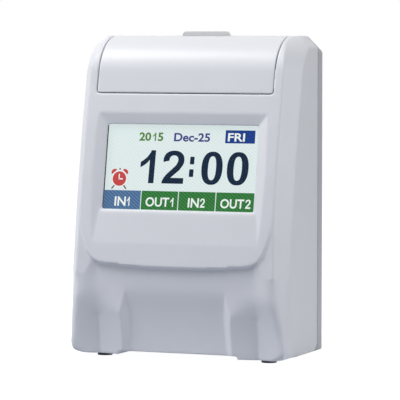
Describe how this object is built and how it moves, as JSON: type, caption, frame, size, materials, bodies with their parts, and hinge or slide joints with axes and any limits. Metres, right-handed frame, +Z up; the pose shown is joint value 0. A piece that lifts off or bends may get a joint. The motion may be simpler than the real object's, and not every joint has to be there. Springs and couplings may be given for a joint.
{
  "type": "time clock",
  "caption": "Card time recorder with a leaning front, colour display, hinged top lid, top card slot, card feed and print carriage, for a desk or a wall.",
  "frame": {"origin": "on the table plane under the middle of the bounding box", "axes": "+X to the viewer's right, -Y to the front with the display, +Z up"},
  "size_m": [0.184, 0.1014, 0.258],
  "materials": {
    "case_shell": "fine satin moulding, cool white",
    "lid_shell": "fine satin moulding, cool white",
    "rear_shell": "satin moulding, cool light grey",
    "throat_plastic": "satin moulding, cool white",
    "window_pane": "clear glossy pane",
    "lcd_glass": "lit colour LCD image",
    "sheet_steel": "zinc plated sheet",
    "circuit_board": "solder mask",
    "zinc_screw": "zinc plated",
    "dark_plastic": "dark moulding",
    "key_plastic": "blue moulding",
    "ground_steel": "ground",
    "roller_rubber": "matte",
    "motor_can": "satin grey",
    "bush_bronze": "sintered bronze",
    "ribbon_cloth": "inked ribbon",
    "battery_wrap": "shrink film"
  },
  "bodies": {
    "case": {"front_case": "case_shell", "rear_cover": "rear_shell", "card_throat": "throat_plastic", "display_window": "window_pane", "lcd_panel": "lcd_glass", "lcd_frame": "sheet_steel", "chassis_base": "sheet_steel", "plate_left": "sheet_steel", "plate_right": "sheet_steel", "front_guide": "sheet_steel", "rear_guide": "sheet_steel", "display_board": "circuit_board", "key_board": "circuit_board", "main_board": "circuit_board", "frame_screws": "zinc_screw", "board_screws": "zinc_screw", "case_screws": "zinc_screw", "chassis_screws": "zinc_screw", "key_strip": "dark_plastic", "card_sensor": "dark_plastic", "buzzer": "dark_plastic", "dc_jack": "dark_plastic", "board_parts": "dark_plastic", "ribbon_cassette": "dark_plastic", "carriage_rods": "ground_steel", "lid_pins": "ground_steel", "platen": "roller_rubber", "rubber_feet": "roller_rubber", "carriage_motor": "motor_can", "feed_motor": "motor_can", "shaft_bushes": "bush_bronze", "ribbon_band": "ribbon_cloth", "battery_pack": "battery_wrap"},
    "lid": {"top_lid": "lid_shell"},
    "key_1": {"set_key_1": "key_plastic"},
    "key_2": {"set_key_2": "key_plastic"},
    "key_3": {"set_key_3": "key_plastic"},
    "key_4": {"set_key_4": "key_plastic"},
    "key_5": {"set_key_5": "key_plastic"},
    "print_carriage": {"carriage": "dark_plastic", "print_head": "dark_plastic"},
    "screw": {"lead_screw": "ground_steel"},
    "feed": {"feed_shaft": "ground_steel", "feed_rollers": "roller_rubber"},
    "pinch": {"pinch_shaft": "ground_steel", "pinch_rollers": "roller_rubber"},
    "ribbon_turner": {"ribbon_knob": "key_plastic"}
  },
  "joints": [
    {"name": "lid_hinge", "type": "hinge", "parent": "case", "child": "lid", "pos_m": [0, 0.0065, 0.2485], "axis": [-1, 0, 0], "range_deg": [0, 75]},
    {"name": "key_1_press", "type": "slide", "parent": "case", "child": "key_1", "axis": [0, 0, -1], "range_m": [0, 0.0009], "stiffness_N_per_m": 250, "springref_m": -0.0003},
    {"name": "key_2_press", "type": "slide", "parent": "case", "child": "key_2", "axis": [0, 0, -1], "range_m": [0, 0.0009], "stiffness_N_per_m": 250, "springref_m": -0.0003},
    {"name": "key_3_press", "type": "slide", "parent": "case", "child": "key_3", "axis": [0, 0, -1], "range_m": [0, 0.0009], "stiffness_N_per_m": 250, "springref_m": -0.0003},
    {"name": "key_4_press", "type": "slide", "parent": "case", "child": "key_4", "axis": [0, 0, -1], "range_m": [0, 0.0009], "stiffness_N_per_m": 250, "springref_m": -0.0003},
    {"name": "key_5_press", "type": "slide", "parent": "case", "child": "key_5", "axis": [0, 0, -1], "range_m": [0, 0.0009], "stiffness_N_per_m": 250, "springref_m": -0.0003},
    {"name": "screw_turn", "type": "hinge", "parent": "case", "child": "screw", "pos_m": [0, -0.002, 0.179], "axis": [1, 0, 0], "range_deg": [-578, 578]},
    {"name": "carriage_slide", "type": "slide", "parent": "case", "child": "print_carriage", "axis": [1, 0, 0], "range_m": [-0.032, 0.032]},
    {"name": "feed_turn", "type": "hinge", "parent": "case", "child": "feed", "pos_m": [0, 0.00775, 0.12], "axis": [1, 0, 0], "continuous": true},
    {"name": "pinch_turn", "type": "hinge", "parent": "case", "child": "pinch", "pos_m": [0, 0.02575, 0.12], "axis": [1, 0, 0], "continuous": true},
    {"name": "ribbon_turn", "type": "hinge", "parent": "case", "child": "ribbon_turner", "pos_m": [0.03, -0.0115, 0.207], "axis": [0, 0, 1], "continuous": true}
  ],
  "couplings": [
    {"joint": "screw_turn", "follows": "carriage_slide", "rad_per_m": 314.16},
    {"joint": "pinch_turn", "follows": "feed_turn", "ratio": -1}
  ]
}
